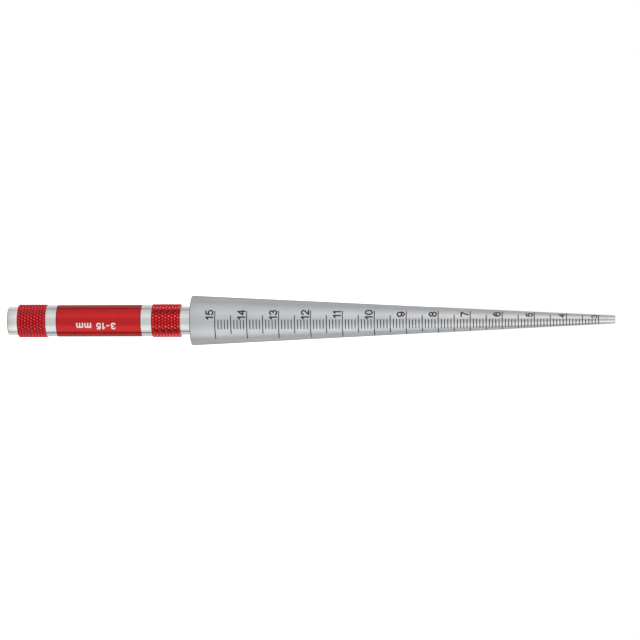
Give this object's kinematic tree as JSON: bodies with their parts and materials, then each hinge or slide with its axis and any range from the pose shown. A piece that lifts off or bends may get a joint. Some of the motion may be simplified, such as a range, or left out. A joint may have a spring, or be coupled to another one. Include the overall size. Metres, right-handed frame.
{
  "type": "bore gauge",
  "caption": "Slender steel cone with an engraved diameter scale, on a knurled red and bare aluminium handle, for reading the size of a hole.",
  "frame": {"origin": "centre of the flat end face of the handle, on which the gauge stands", "axes": "+Z along the gauge's axis from the handle's end to the tip; the scale faces -Y and its numerals have their tops towards the handle"},
  "size_m": [0.0158, 0.0158, 0.192],
  "materials": {
    "satin_chromed_steel": "ground and satin chromed",
    "anodised_aluminium": "red anodised, with bare turned bands and ends",
    "black_steel": "black oxide",
    "black_enamel": "matt enamel in the engraved marks",
    "white_ink": "matt printed ink"
  },
  "bodies": {
    "root": {"measuring_cone": "satin_chromed_steel", "handle": "anodised_aluminium", "joining_stud": "black_steel"}
  },
  "joints": []
}
